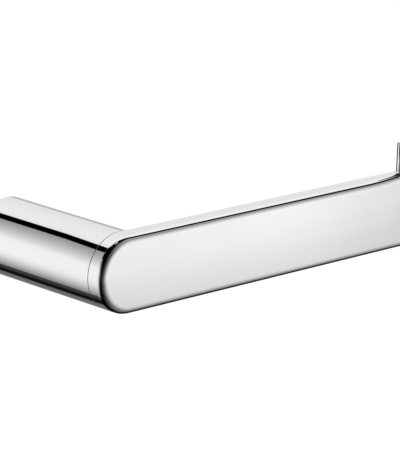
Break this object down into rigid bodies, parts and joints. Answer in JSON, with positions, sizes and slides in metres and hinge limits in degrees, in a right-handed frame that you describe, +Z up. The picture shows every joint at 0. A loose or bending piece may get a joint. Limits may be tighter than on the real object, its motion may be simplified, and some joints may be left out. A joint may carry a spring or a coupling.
{
  "type": "toilet paper holder",
  "caption": "Wall-held toilet paper holder: a round chromed post on a hidden bracket carries a flat bar with an upright end stop.",
  "frame": {"origin": "centre of the bracket's back face, where the post's axis meets the wall", "axes": "+Y into the wall, +X along the bar from the post to the end stop, +Z up"},
  "size_m": [0.1602, 0.067, 0.0404],
  "materials": {
    "polished_chrome": "mirror-polished chrome plate",
    "turned_brass": "turned, unplated",
    "bracket_steel": "turned, matt",
    "fastener_steel": "zinc-plated",
    "black_polymer": "smooth, matt"
  },
  "bodies": {
    "bracket": {"wall_bracket": "bracket_steel"},
    "arm": {"rear_collar": "turned_brass", "post_tube": "polished_chrome", "front_plug": "turned_brass", "plain_washer": "fastener_steel", "spring_washer": "fastener_steel", "join_screw": "fastener_steel", "dowel_pins": "fastener_steel", "joint_washer": "black_polymer", "bar": "polished_chrome"},
    "grub": {"set_screw": "fastener_steel"}
  },
  "joints": [
    {"name": "arm_slides_off", "type": "slide", "parent": "bracket", "child": "arm", "axis": [0, -1, 0], "range_m": [0, 0.016]},
    {"name": "set_screw_backs_out", "type": "slide", "parent": "arm", "child": "grub", "axis": [0, 0, -1], "range_m": [0, 0.002]}
  ]
}
